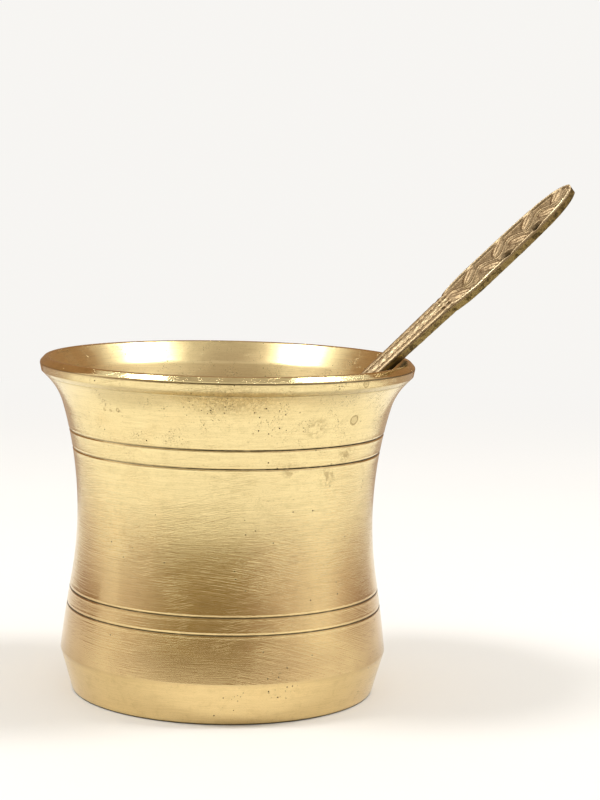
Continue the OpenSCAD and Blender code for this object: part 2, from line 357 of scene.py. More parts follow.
def cup_profile(s):
    """The cup's half outline, from the middle of its base round the lip to the middle of its floor."""
    c = cup_curves(s)
    crease, waist = c.crease, c.waist
    tilt = math.atan2(crease[0] - s.base_d / 2, crease[1])
    edge = (s.base_d / 2 + s.base_edge * (math.tan(tilt) - 1 / math.cos(tilt)), s.base_edge)
    recess = (s.recess_d / 2 - s.recess_h, s.recess_h)
    stand = (s.recess_d / 2, 0.0)
    points = [(0.0, s.recess_h)] + line((0.0, s.recess_h), recess, 2.0)
    points += rounded((0.0, s.recess_h), recess, stand, RECESS_ROUND)
    points += rounded(recess, stand, (edge[0], 0.0), RECESS_ROUND)
    points += line(points[-1], (edge[0], 0.0), 1.0)
    foot = arc(edge, s.base_edge, -90, -math.degrees(tilt), 0.1)
    above = (crease[0] - math.tan(c.swell_lean), crease[1] + 1)
    over = rounded(foot[-1], crease, above, CREASE_ROUND)
    points += foot + line(foot[-1], over[0], WALL_STEP) + over

    # Wall, with closer points at the grooves
    heights = {over[-1][1] + 0.12, over[-1][1] + 0.3}
    z = over[-1][1] + WALL_STEP
    while z < c.neck[1]:
        heights.add(z)
        z += WALL_STEP
    half = s.groove_w / 2
    for place in groove_heights(s):
        heights = {h for h in heights if abs(h - place) > 2.4 * half}
        heights |= {place + half * k / 6 for k in range(-12, 13)}
    points += [(wall_radius(s, c, h) - groove_cut(s, h), h) for h in sorted(heights)]

    # Lip
    low = c.lip_low
    points.append(c.neck)
    for k in range(-4, 5):
        cut, z = MARK_DEPTH * (1 - abs(k) / 4), c.tool_mark + MARK_HALF / 4 * k
        points.append((low[0] - low[1] + z - cut, z + cut))
    crown = (s.mouth_d / 2 - CROWN_IN * s.lip_round, s.cup_h - CROWN_DOWN * s.lip_round)
    cap, bead = CROWN_ROUND * s.lip_round, RIDGE_ROUND * s.lip_round
    ridge_r = s.mouth_d / 2 - bead
    ridge_z = crown[1] + (cap - bead - (ridge_r - crown[0]) * math.cos(BEVEL)) / math.sin(BEVEL)
    ridge = arc((ridge_r, ridge_z), bead, -math.degrees(UNDERCUT), math.degrees(BEVEL), 0.08)
    slide = (ridge[0][1] - ridge[0][0] + low[0] - low[1]) / (math.cos(UNDERCUT) - math.sin(UNDERCUT))
    corner = (ridge[0][0] - slide * math.sin(UNDERCUT), ridge[0][1] - slide * math.cos(UNDERCUT))
    turned = rounded(c.neck, corner, ridge[0], LIP_CORNER)
    throat = (s.mouth_d / 2 - s.lip_face_w, s.cup_h - s.lip_face_h)
    away = (throat[0] - crown[0], throat[1] - crown[1])
    turn = math.degrees(math.atan2(away[1], away[0]) + math.tau - math.acos(cap / math.hypot(*away)))
    over_lip = arc(crown, cap, math.degrees(BEVEL), turn, 0.1)
    points += turned + line(turned[-1], ridge[0], 0.3) + ridge
    points += line(ridge[-1], over_lip[0], 0.2) + over_lip

    # Inside
    inner = (waist[0] - s.wall, waist[1])
    inner_turn = 2 * math.atan2(throat[0] - inner[0], throat[1] - inner[1])
    inner_r = (throat[1] - inner[1]) / math.sin(inner_turn)
    bend = math.degrees(c.swell_turn)
    down = arc((inner[0] + inner_r, inner[1]), inner_r, 180 - math.degrees(inner_turn), 180, INNER_STEP)[3:]
    shoulder = rounded(over_lip[-1], throat, down[0], THROAT_ROUND, 10)
    points += line(over_lip[-1], shoulder[0], 0.5) + shoulder + down
    points += arc((waist[0] + c.hollow_r, waist[1]), c.hollow_r + s.wall, 180, 180 + bend, INNER_STEP)[1:]
    inward, half = (c.swell_lean - tilt) / 2, (c.swell_lean + tilt) / 2
    inner_crease = (
        crease[0] - s.wall / math.cos(half) * math.cos(inward),
        crease[1] - s.wall / math.cos(half) * math.sin(inward),
    )
    swell_in = c.swell_r - s.wall
    low_turn = math.degrees(math.asin((inner_crease[1] - c.swell_centre[1]) / swell_in))
    points += arc(c.swell_centre, swell_in, bend, low_turn, INNER_STEP)[1:]
    slide = (inner_crease[1] - s.floor_t - s.corner_r * (1 - math.sin(tilt))) / math.cos(tilt)
    corner = (
        inner_crease[0] - slide * math.sin(tilt) - s.corner_r * math.cos(tilt),
        inner_crease[1] - slide * math.cos(tilt) + s.corner_r * math.sin(tilt),
    )
    round_in = arc(corner, s.corner_r, -math.degrees(tilt), -90, 0.4)
    points += line(points[-1], round_in[0], 0.6) + round_in
    points += line(round_in[-1], (0.0, s.floor_t), 1.6) + [(0.0, s.floor_t)]
    return points


def cup_marks(s, c, r, z):
    """How much soil and painted shade a place on the cup holds, and whether it lies inside the cup or on its
    lip: soil in the grooves and the tool's mark, a dark line below the top of the lip, painted shade under the
    lip and a painted contact shadow along the base.
    """
    if z > c.lip_low[1]:
        edge = s.mouth_d / 2 - 1.9 * s.lip_round
    elif z > c.neck[1]:
        edge = c.neck[0] - 0.8
    elif z > c.crease[1]:
        edge = wall_radius(s, c, z) - s.wall / 2
    else:
        edge = s.base_d / 2 - s.wall / 2
    if r < edge:
        return 0.0, 1.0, 0.0
    half = s.groove_w / 2
    upper, lower = groove_heights(s)[:2], groove_heights(s)[2:]
    deep = [1 - smoothstep(0.28, 0.58, abs(z - place) / half) for place in upper]
    deep += [0.9 * (1 - smoothstep(0.26, 0.6, abs(z - place + 0.3 * half) / half)) for place in lower]
    deep.append(0.45 * bump(z - c.tool_mark, 0.12))
    deep.append(0.9 * bump(z - s.cup_h + 1.5 * s.lip_round, 0.15))
    # Painted shade on the underside of the lip, from the neck to the lip's edge
    over_neck, to_lip = z - c.neck[1], z - c.lip_low[1]
    deep.append(0.25 * smoothstep(-0.4, 0.4, over_neck) * (1 - smoothstep(-0.4, -0.1, to_lip)))
    # Painted contact shadow: a dark line along the base where the cup stands
    deep.append(0.9 * (1 - smoothstep(0.15, 0.5, z)))
    return max(deep), 0.0, smoothstep(-0.5, 0.0, to_lip)


# Spoon

SPOON_MARKS = ("hollow", "rubbed", "side")

# The dark pockets behind the leaf's front border: their places along the leaf and how deep each is
POCKETS = ((0.205, 0.3), (0.44, 1.0), (0.675, 1.0))

# The vine on the leaf: its sway as a share of half the leaf's width, its waves, height and half width
VINE_SWAY, VINE_WAVES, VINE_HEIGHT, VINE_HALF = 0.30, 4.2, 0.30, 0.34

# The lobes beside the vine: their places along the leaf and their sides, then their lie, half sizes and heights
LOBES = tuple((0.085 + 0.118 * k, 1 if k % 2 else -1) for k in range(8))
LOBE_OUT, LOBE_TURN, LOBE_LONG, LOBE_WIDE = 0.43, math.radians(34), 2.9, 1.2
LOBE_HEIGHT, VEIN_DEPTH = 0.42, 0.16

# The stem's face: depth and pitch of the cuts, height and pitch of the beads, depth and pitch of the nicks
CUT_DEPTH, CUT_PITCH, BEAD_HEIGHT, BEAD_PITCH, NICK_DEPTH, NICK_PITCH = 0.24, 1.55, 0.10, 2.6, 0.08, 3.3

# Points across the handle's face, down each side and across its back, and the greatest round of its edges
FACE_POINTS, SIDE_POINTS, BACK_POINTS, EDGE_ROUND = 46, 8, 12, 0.6

# Distance between the handle's sections, closer towards the leaf, and the sections of its tip
ROOT_STEP, STEM_STEP, UPPER_STEP, LEAF_STEP, TIP_COUNT = 0.6, 0.36, 0.24, 0.17, 60

# Radius on the edges of the bowl's rim, and facets round the bowl
RIM_ROUND, BOWL_TURNS = 0.42, 160


def bowl_curves(s):
    """The two balls of the spoon's bowl and the level of its rim."""
    b = SimpleNamespace(rim=s.handle_t / 2 + s.sink - s.neck_rise)
    thick = s.bowl_wall + s.bowl_depth
    b.inner = ((s.bowl_d / 2) ** 2 / thick - s.bowl_wall + s.bowl_depth) / 2
    b.up = b.inner - s.bowl_depth
    b.outer = b.inner + s.bowl_wall
    b.centre = b.rim + b.up
    b.root = math.sqrt(b.inner ** 2 - b.up ** 2) - s.bowl_wall
    b.neck_end = b.root + s.neck_l
    return b


def half_width(s, b, x):
    """Half of the handle's width at a distance from the bowl's centre."""
    if x < s.stem_l:
        along = max(0.0, (x - b.neck_end) / (s.stem_l - b.neck_end))
        flare = max(0.0, (b.neck_end - x) / s.neck_l)
        swell = (s.stem_top_w - s.stem_w) * along ** 1.6
        return (s.stem_w + swell + (s.root_w - s.stem_w) * flare ** 2) / 2
    u = min(1.0, (x - s.stem_l) / s.leaf_l)
    shoulder = max(0.0, 1 - u * s.leaf_l / s.shoulder_l)
    return (s.leaf_w / 2 - s.shoulder_in * shoulder ** 2) * math.sqrt(max(0.0, 1 - u ** 6))


def handle_rise(s, b, x):
    """Height of the handle's middle, with the neck's double bend."""
    bend = 2 * math.atan2(s.neck_rise, s.neck_l)
    radius = s.neck_l / (2 * math.sin(bend))
    away = x - b.root
    if away <= 0:
        return -s.neck_rise
    if away < s.neck_l / 2:
        return radius - s.neck_rise - math.sqrt(radius ** 2 - away ** 2)
    if away < s.neck_l:
        return math.sqrt(radius ** 2 - (s.neck_l - away) ** 2) - radius
    return 0.0


def leaf_relief(s, x, y, half):
    """Height of the carved leaf over the handle's flat top: a sunk field, a border, a vine and its lobes."""
    u = (x - s.stem_l) / s.leaf_l
    edge = min(half - abs(y), s.leaf_l * (1 - u))
    inside = smoothstep(s.border_w * 0.5, s.border_w * 1.2, edge) * smoothstep(0.3, 4.0, x - s.stem_l)
    vine = VINE_SWAY * half * math.sin(math.tau * VINE_WAVES * u + 0.4)
    carved = VINE_HEIGHT * bump(y - vine, VINE_HALF)
    for place, side in LOBES:
        cx, cy = x - s.stem_l - place * s.leaf_l, y - side * LOBE_OUT * half
        a = LOBE_TURN * side
        p = (cx * math.cos(a) + cy * math.sin(a)) / LOBE_LONG
        q = (cy * math.cos(a) - cx * math.sin(a)) / LOBE_WIDE
        away = p * p + q * q
        if away < 1:
            carved = max(carved, LOBE_HEIGHT * (1 - away) ** 0.5 - VEIN_DEPTH * bump(q, 0.2) * (1 - away))
    return -s.field_depth * inside + carved * inside


def wave(turns):
    """A wave between nothing and one."""
    return 0.5 + 0.5 * math.sin(math.tau * turns)


def stem_relief(x, y, half):
    """Height of the stem's chased face: two rows of short cuts with a beaded strip between them."""
    row = 0.42 * half
    cut = 0.0
    for side, shift in ((1, 0.0), (-1, 0.45)):
        dash = smoothstep(0.15, 0.6, wave(x / CUT_PITCH + shift))
        cut = max(cut, bump(y - side * row, 0.17) * (0.25 + 0.75 * dash))
    strip = BEAD_HEIGHT * bump(y, 0.5 * row) * wave(x / BEAD_PITCH)
    rim = NICK_DEPTH * bump(abs(y) - 0.86 * half, 0.22) * wave(x / NICK_PITCH)
    return strip - CUT_DEPTH * cut - rim


def handle_relief(s, b, x, y, half):
    """Height of the handle's face over its flat top, with the collar between stem and leaf."""
    start = smoothstep(b.neck_end + 4, b.neck_end + 16, x)
    height = start * stem_relief(x, y, half) if x < s.stem_l else leaf_relief(s, x, y, half)
    collar = bump(x - s.stem_l + 0.1, 0.5) + 0.8 * bump(x - s.stem_l + 2.0, 0.45)
    height -= 0.30 * collar * (0.55 + 0.45 * math.cos(y * 4.6))
    grain = noise.fractal(Vector((x * 1.1, y * 1.1, 4.0)), 0.9, 2.0, 4)
    return height + (0.035 + 0.02 * start) * grain


def pocket(s, x, y, half):
    """How deep the face is sunk in the dark pockets behind the leaf's front border."""
    u = (x - s.stem_l) / s.leaf_l
    found = 0.0
    for place, deep in POCKETS:
        away = math.hypot((u - place) * s.leaf_l / 1.95, (y + half - 1.35) / 1.2)
        away += 0.16 * noise.fractal(Vector((x * 0.8, y * 0.8, 9.0)), 0.9, 2.0, 3)
        found = max(found, deep * (1 - smoothstep(0.35, 1.1, away)))
    return found


def handle_ring(s, b, x, root):
    """Points round one section of the handle, flat or on a ball in the bowl's wall, with the face's relief."""
    half = half_width(s, b, x)
    middle = handle_rise(s, b, x)
    top, low = middle + s.handle_t / 2, middle - s.handle_t / 2
    soft = min(EDGE_ROUND, half * 0.45)
    flat = half - soft
    points = [(flat * (1 - 2 * i / FACE_POINTS), top, 1.0) for i in range(FACE_POINTS + 1)]
    turns = [math.radians(15 * i) for i in range(1, 6)]
    tall = low - top + 2 * soft
    front = [(-half + soft - soft * math.sin(a), top - soft + soft * math.cos(a), math.cos(a)) for a in turns]
    front += [(-half, top - soft + tall * i / SIDE_POINTS, 0.0) for i in range(SIDE_POINTS + 1)]
    front += [(-half + soft - soft * math.cos(a), low + soft - soft * math.sin(a), -1.0) for a in turns]
    back = [(-y, z, kind) for y, z, kind in reversed(front)]
    points += front + [(-flat * (1 - 2 * i / BACK_POINTS), low, -1.0) for i in range(BACK_POINTS + 1)] + back
    made = []
    fade = smoothstep(b.neck_end, b.neck_end + 14, x)
    for y, z, kind in points:
        if kind > 0:
            z += handle_relief(s, b, x, y, half) * kind
        rough = noise.fractal(Vector((x * 0.9, y * 0.9, z * 1.3)), 0.8, 2.0, 4)
        if kind == 0:
            flute = 0.10 * math.sin(math.tau * (x / 2.1 + 0.25 * math.sin(z * 2)))
            flute *= 1 - abs(z - middle) / 1.4
            y *= 1 + fade * (0.09 * rough - 0.06 - max(0.0, flute) * 0.5) / max(half, 0.6)
        elif kind < 0:
            z += 0.05 * rough * fade
        if x >= s.stem_l and y < 0:
            z -= 0.7 * pocket(s, x, y, half) * smoothstep(low, top - 0.3, z)
        reach = math.sqrt(max(1.0, root ** 2 - (b.centre - z) ** 2 - y ** 2)) if root else x
        made.append(Vector((reach, y, z)))
    return made


def handle_stations(s, b):
    """Distances along the handle at which it gets a section."""
    count = int((b.neck_end - b.outer) / ROOT_STEP) + 1
    places = [b.outer - ROOT_STEP + ROOT_STEP * i for i in range(count)]
    for end, step in (
        (s.stem_l - 46, STEM_STEP), (s.stem_l - 3, UPPER_STEP), (s.stem_l + s.leaf_l * 0.82, LEAF_STEP),
    ):
        while places[-1] < end:
            places.append(places[-1] + step)
    last, tip = places[-1], s.stem_l + s.leaf_l - 0.002
    turns = [math.pi / 2 * i / TIP_COUNT for i in range(1, TIP_COUNT + 1)]
    return places + [last + (tip - last) * math.sin(a) for a in turns]


def handle_mesh(s, b):
    """The handle, drawn out section by section from its root in the bowl's wall to the leaf's tip."""
    bm = bmesh.new()
    stations = handle_stations(s, b)
    first = handle_ring(s, b, stations[0], (b.inner + b.outer) / 2)
    points = [bm.verts.new(p) for p in first]
    edges = [bm.edges.new((points[i - 1], points[i])) for i in range(len(points))]
    loop = points
    for x in stations:
        made = bmesh.ops.extrude_edge_only(bm, edges=edges)["geom"]
        edges = [g for g in made if isinstance(g, bmesh.types.BMEdge)]
        fresh = {g for g in made if isinstance(g, bmesh.types.BMVert)}
        loop = [next(e.other_vert(v) for e in v.link_edges if e.other_vert(v) in fresh) for v in loop]
        for v, p in zip(loop, handle_ring(s, b, x, None)):
            v.co = p
        between = set(loop)
        edges = [e for e in edges if e.verts[0] in between and e.verts[1] in between]
    bmesh.ops.contextual_create(bm, geom=edges)
    bmesh.ops.contextual_create(bm, geom=[e for e in bm.edges if e.is_boundary])
    bmesh.ops.remove_doubles(bm, verts=bm.verts, dist=0.002)
    bmesh.ops.recalc_face_normals(bm, faces=bm.faces)
    return to_mesh(bm, "spoon_handle")


def bowl_mesh(b):
    """The bowl, spun from its hollow, its rounded rim and its belly."""
    rim_turn = math.degrees(math.asin(b.up / b.outer))
    hollow_turn = math.degrees(math.asin(b.up / b.inner))
    hollow = [(r, z + b.centre) for r, z in arc((0, 0), b.inner, -90, -hollow_turn - 3.2, 0.4)]
    belly = [(r, z + b.centre) for r, z in arc((0, 0), b.outer, -rim_turn - 2.4, -90, 0.4)]
    inner_top = (math.sqrt(b.inner ** 2 - b.up ** 2), b.rim)
    outer_top = (math.sqrt(b.outer ** 2 - b.up ** 2), b.rim)
    profile = hollow + rounded(hollow[-1], inner_top, outer_top, RIM_ROUND)
    profile += rounded(inner_top, outer_top, belly[0], RIM_ROUND) + belly
    profile[0], profile[-1] = (0.0, profile[0][1]), (0.0, profile[-1][1])
    return to_mesh(spun(profile, BOWL_TURNS), "spoon_bowl")


def joined(first, second, name):
    """One mesh from two closed ones that reach into each other."""
    keep, tool = new_object(name, first), new_object(name + "_tool", second)
    union = keep.modifiers.new("join", "BOOLEAN")
    union.operation, union.solver, union.object = "UNION", "MANIFOLD", tool
    graph = bpy.context.evaluated_depsgraph_get()
    mesh = bpy.data.meshes.new_from_object(keep.evaluated_get(graph))
    for made in (keep, tool):
        bpy.data.objects.remove(made)
    return mesh


def spoon_marks(s, b, co):
    """How hollow, how rubbed and how far down its sides a point of the level spoon lies; the hollow value also
    holds painted shade under the handle inside the cup, and the rubbed value a painted highlight along the
    leaf's front border.
    """
    x, y, z = co
    if x < b.outer:
        deep = math.hypot(x, y, z - b.centre)
        inside = 1 - smoothstep(b.inner, b.inner + 0.5, deep)
        rim = bump(z - b.rim, 0.5)
        hollow = 0.55 * inside * bump(z - b.centre + b.inner, 5.0)
        return hollow, 0.5 * rim, 1.0 - inside - rim * 0.7
    half = half_width(s, b, x)
    under = handle_rise(s, b, x) + s.handle_t / 2 - z
    nominal = s.field_depth if x > s.stem_l else 0.0
    side = smoothstep(0.3, 0.75, under) if abs(y) > half - 0.45 else smoothstep(1.2, 1.8, under)
    hollow = smoothstep(nominal - 0.26, nominal + 0.06, under) if nominal else smoothstep(0.03, 0.2, under)
    hollow *= 1 - side
    if x > s.stem_l and y < 0:
        upward = 1 - smoothstep(1.2, 1.7, under)
        hollow = max(hollow, 1.9 * pocket(s, x, y, half) * smoothstep(0.0, 0.5, under) * upward)
    # Painted shade on the handle's underside and lower sides inside the cup, up to the lip
    hollow = max(hollow, 1.75 * smoothstep(0.7, 1.5, under) * (1 - smoothstep(84.0, 93.0, x)))
    ridge = 1 - smoothstep(0.02, 0.42, under)
    u = (x - s.stem_l) / s.leaf_l
    if u < 0:
        edge = 0.45 * bump(y, 0.22 * half) + 0.2 * bump(half - abs(y) - 0.3, 0.3)
    elif y > 0:
        edge = 0.22 * bump(half - abs(y) - 0.35, 0.4)
    else:
        # Wear along the front border, with painted highlights where it catches the light
        edge = (0.12 + bump(u - 0.22, 0.13) + bump(u - 0.87, 0.08)) * bump(half - abs(y) - 0.55, 0.65)
    return min(1.95, hollow), min(1.0, ridge * edge), side


# Shader values

def put(tree, kind, values=None, **settings):
    """Adds a node, with its settings and the values or links of its inputs."""
    made = tree.nodes.new(kind)
    for key, setting in settings.items():
        setattr(made, key, setting)
    for key, given in (values or {}).items():
        if isinstance(given, Value):
            tree.links.new(given.socket, made.inputs[key])
        else:
            made.inputs[key].default_value = given
    return made


def output_of(tree, kind, socket, values=None, **settings):
    """One output of a new node."""
    return Value(tree, put(tree, kind, values, **settings).outputs[socket])


class Value:
    """A value in a shader tree, to reckon with other values and with plain numbers."""

    def __init__(self, tree, socket):
        self.tree, self.socket = tree, socket

    def reckon(self, operation, first, second):
        return output_of(self.tree, "ShaderNodeMath", 0, {0: first, 1: second}, operation=operation)

    def __add__(self, other):
        return self.reckon("ADD", self, other)

    def __sub__(self, other):
        return self.reckon("SUBTRACT", self, other)

    def __rsub__(self, other):
        return self.reckon("SUBTRACT", other, self)

    def __mul__(self, other):
        return self.reckon("MULTIPLY", self, other)

    def __truediv__(self, other):
        return self.reckon("DIVIDE", self, other)

    def __rtruediv__(self, other):
        return self.reckon("DIVIDE", other, self)

    def to(self, low, high, to_low=0.0, to_high=1.0):
        """The value brought smoothly from one range to another."""
        return output_of(self.tree, "ShaderNodeMapRange", "Result", {
            "Value": self, "From Min": low, "From Max": high, "To Min": to_low, "To Max": to_high,
        }, interpolation_type="SMOOTHSTEP")

    def part(self, index):
        """One part of a vector."""
        return output_of(self.tree, "ShaderNodeSeparateXYZ", index, {0: self})

    def vector(self, operation, output="Vector", values=None):
        """What a sum of vectors makes of this one."""
        given = {0: self, **(values or {})}
        return output_of(self.tree, "ShaderNodeVectorMath", output, given, operation=operation)


def most(*found):
    """The greatest of several values."""
    return reduce(lambda a, b: a.reckon("MAXIMUM", a, b), found)


def combined(x, y, z=0.0):
    """A vector from its parts."""
    return output_of(x.tree, "ShaderNodeCombineXYZ", 0, {0: x, 1: y, 2: z})


def stir(vector, scale, detail=3.0, roughness=0.55, distortion=0.0):
    """Noise on a vector."""
    return output_of(vector.tree, "ShaderNodeTexNoise", "Fac", {
        "Vector": vector, "Scale": scale, "Detail": detail, "Roughness": roughness, "Distortion": distortion,
    })


def solid(rgb):
    """A colour with full opacity, or the value that stands for one."""
    return rgb if isinstance(rgb, Value) else (*rgb, 1.0)


def tint(under, over, mask):
    """One colour laid over another by a mask."""
    given = {0: mask, 6: solid(under), 7: solid(over)}
    return output_of(mask.tree, "ShaderNodeMix", 2, given, data_type="RGBA")


# Shader groups

# Where the polishing strokes start to fall, and the curve and the stretch of the hairlines
BOW_START = -15.0
HAIR_BOW = 0.004
HAIR_STRETCH = 0.09


def shader_group(title, output, **inputs):
    """Turns a maker of a value into a shader group, built once and placed with its own values at each use."""
    def with_maker(maker):
        def built():
            group = bpy.data.node_groups.new(title, "ShaderNodeTree")
            for name, default in {"Vector": None, **inputs}.items():
                kind = "NodeSocketVector" if default is None else "NodeSocketFloat"
                socket = group.interface.new_socket(name=name, in_out="INPUT", socket_type=kind)
                if default is not None:
                    socket.default_value = default
            group.interface.new_socket(name=output, in_out="OUTPUT", socket_type="NodeSocketFloat")
            given = put(group, "NodeGroupInput")
            made = maker(*[Value(group, given.outputs[name]) for name in ("Vector", *inputs)])
            put(group, "NodeGroupOutput", {output: made})
            return group

        def placed(vector, **values):
            group = bpy.data.node_groups.get(title) or built()
            given = {"Vector": vector, **values}
            return output_of(vector.tree, "ShaderNodeGroup", output, given, node_tree=group)

        return placed
    return with_maker


@shader_group("Turned lines", "Height", Lines=5.0, Length=5.0, Wander=1.0, Bow=0.0)
def turned_lines(vector, lines, length, wander, bow):
    """Fine lines that a turning tool and a polishing cloth leave round a body."""
    across = vector.part(0)
    flat = combined(across, vector.part(1))
    way = flat.vector("NORMALIZE").vector("SCALE", values={"Scale": length})
    sway = stir(vector, 0.055, 1.0) - 0.5
    along = vector.part(2) + flat.vector("LENGTH", "Value") + sway * wander
    reach = most(across - BOW_START, 0.0)
    along = (along + reach * reach * bow) * lines
    return stir(combined(along, way.part(0), way.part(1)), 1.0, 2.0, 0.6)


@shader_group("Hairlines", "Mask", Slope=0.4, Fineness=4.0, Share=0.3)
def hairlines(vector, slope, fineness, share):
    """Sparse hairlines across a surface at one slope."""
    turned = output_of(vector.tree, "ShaderNodeVectorRotate", 0, {"Vector": vector, "Angle": slope},
                       rotation_type="Y_AXIS")
    x = turned.part(0)
    across = (turned.part(2) + x * x * HAIR_BOW) * fineness
    place = combined(x * HAIR_STRETCH, turned.part(1) * HAIR_STRETCH, across)
    edge = 0.80 - share * 0.25
    cut = stir(place, 1.0, 1.0).to(edge, edge + 0.08)
    return cut * stir(vector, 0.09, 2.0).to(0.42, 0.62)


@shader_group("Pits", "Mask", Spacing=1.0, Size=0.16, Share=0.3)
def pits_of(vector, spacing, size, share):
    """Small round pits, some cells of a scatter only."""
    tree = vector.tree
    cells = put(tree, "ShaderNodeTexVoronoi", {"Vector": vector, "Scale": 1.0 / spacing}).outputs
    near = (Value(tree, cells["Distance"]) * spacing).to(size * 0.5, size, 1.0, 0.0)
    chance = output_of(tree, "ShaderNodeSeparateColor", 0, {0: Value(tree, cells["Color"])})
    return near * chance.reckon("LESS_THAN", chance, share)


@shader_group("Tarnish", "Mask", Scale=0.2, Share=0.4, Softness=0.15)
def tarnish(vector, scale, share, softness):
    """Cloudy patches with broken edges."""
    edge = 0.75 - share * 0.5
    return stir(vector, scale, 6.0, 0.62, 0.5).to(edge, edge + softness)


@shader_group("Water spot", "Mask", Centre=None, Radius=1.0)
def water_spot(vector, centre, radius):
    """A dried drop: a darker ring and a faint middle at one place."""
    ragged = stir(vector, 0.9, 2.0) - 0.5
    away = vector.vector("DISTANCE", "Value", {1: centre}) / radius + ragged * 0.5
    ring = away.to(0.55, 0.9) * away.to(0.95, 1.2, 1.0, 0.0)
    return most(ring, away.to(0.8, 1.05, 1.0, 0.0) * 0.4)


@shader_group("Near place", "Mask", Centre=None, Radius=1.0)
def near_place(vector, centre, radius):
    """A soft round patch at one place."""
    away = vector.vector("DISTANCE", "Value", {1: centre}) / radius
    return away.to(0.2, 1.0, 1.0, 0.0)


def scattered(mark, vector, places):
    """One mark at several places, each with its own radius."""
    return most(*[mark(vector, Centre=centre, Radius=radius) for centre, radius in places])


# Materials

# Marks on the cup, each with its centre and its radius in millimetres
WATER_SPOTS = (
    ((23.9, -28.0, 64.8), 1.15), ((25.4, -33.4, 73.2), 0.8), ((-29.0, -23.4, 66.4), 0.38),
    ((-27.8, -24.8, 66.4), 0.34), ((-26.4, -26.4, 66.6), 0.50), ((3.0, 34.4, 52.0), 1.2),
    ((-26.0, 22.4, 30.0), 0.9),
)
PITTED = (
    ((-9.0, -37.0, 69.5), 7.0), ((5.5, -36.5, 66.0), 7.0), ((-1.6, -35.7, 6.0), 4.0),
    ((8.5, -35.7, 9.3), 5.0), ((14.0, 33.0, 60.0), 10.0),
)
SMUDGES = (
    ((18.2, -29.0, 52.7), 3.0), ((22.3, -26.9, 57.1), 2.8), ((15.2, -33.2, 63.8), 3.6),
    ((9.5, -33.2, 54.8), 2.5), ((-20.0, 27.0, 55.0), 4.0),
)
# Places of painted shade low on the wall, at the front, the left, the right and the back, standing in for the
# darker reflection there
PAINTED_SHADE_PLACES = (
    ((-3.0, -26.5, 9.5), 15.5), ((-36.0, -10.0, 6.0), 24.0), ((34.0, -16.0, 6.0), 24.0),
    ((4.0, 36.0, 16.0), 20.0),
)
# Painted shade on the back of the inside below the lip, standing in for the darker reflection between the
# highlights there
INSIDE_PAINTED_SHADE = (((6.0, 36.0, 66.0), 16.0),)
UNDER_LIP = (((-1.2, -11.4, 70.2), 5.0),)
# Painted shadow of the spoon's handle on the lip's inner face, beside the handle
SPOON_SHADOW_ON_LIP = (((38.6, -7.5, 74.5), 10.0),)

# The patches of painted shade low on the wall are drawn out upwards, and the smear under the lip sideways
PAINTED_SHADE_HEIGHT = 0.5
SMEAR_WIDTH = 0.3

# Heights on the cup, and places from its left to its right, between which an effect changes
FOOT_TOP = (8.0, 11.0)
FOOT_EDGE = (8.2, 9.8)
OVER_CREASE = (19.0, 12.0)
LOW_WALL = (46.0, 22.0)
STROKED_WALL = (46.0, 34.0)
UPPER_WALL = (50.0, 70.0)
UNDER_UPPER_PAIR = (45.0, 35.0)
LEFT_SIDE = (-30.0, -2.0)

# Depth of the fine relief, and the pull of the turning lines on the cup's mirror image
CUP_GRAIN = 0.012 * MM
SPOON_GRAIN = 0.035 * MM
LINE_PULL = {"Anisotropic": 0.42, "Anisotropic Rotation": 0.25}


def new_material(name):
    """A material without its shader, and the place on its piece in millimetres."""
    made = bpy.data.materials.new(name)
    made.use_nodes = True
    made.node_tree.nodes.clear()
    place = output_of(made.node_tree, "ShaderNodeTexCoord", "Object")
    return made, place.vector("SCALE", values={"Scale": 1 / MM})


def surfaced(made, shader):
    """Gives a material its shader."""
    put(made.node_tree, "ShaderNodeOutputMaterial", {"Surface": shader})
    return made


def kept(place, names):
    """The numbers that the mesh keeps at each vertex."""
    return [output_of(place.tree, "ShaderNodeAttribute", "Fac", attribute_name=name) for name in names]


def metal(made, base, rough, height, depth, **more):
    """Gives a material the shader of a metal with a fine relief."""
    given = {"Height": height, "Strength": 1.0, "Distance": depth}
    return surfaced(made, output_of(made.node_tree, "ShaderNodeBsdfPrincipled", 0, {
        "Base Color": base, "Metallic": 1.0, "Roughness": rough,
        "Normal": output_of(made.node_tree, "ShaderNodeBump", 0, given), **more,
    }))


def cup_pits(place, high):
    """Fine pepper, pits in a few places and single pits all over the cup."""
    pitted = scattered(near_place, place, PITTED)
    strewn = tarnish(place, Scale=0.22, Share=0.55, Softness=0.2) * high.to(*UPPER_WALL, 0.15, 0.9)
    return most(
        strewn * stir(place, 3.4, 3.0, 0.75).to(0.57, 0.64),
        pitted.to(0.0, 0.3) * pits_of(place, Spacing=1.05, Size=0.21, Share=0.4),
        pitted.to(0.0, 0.4) * pits_of(place, Spacing=0.62, Size=0.14, Share=0.35),
        strewn.to(0.1, 0.4) * pits_of(place, Spacing=0.8, Size=0.13, Share=0.3),
        pits_of(place, Spacing=2.1, Size=0.2, Share=0.28),
    )


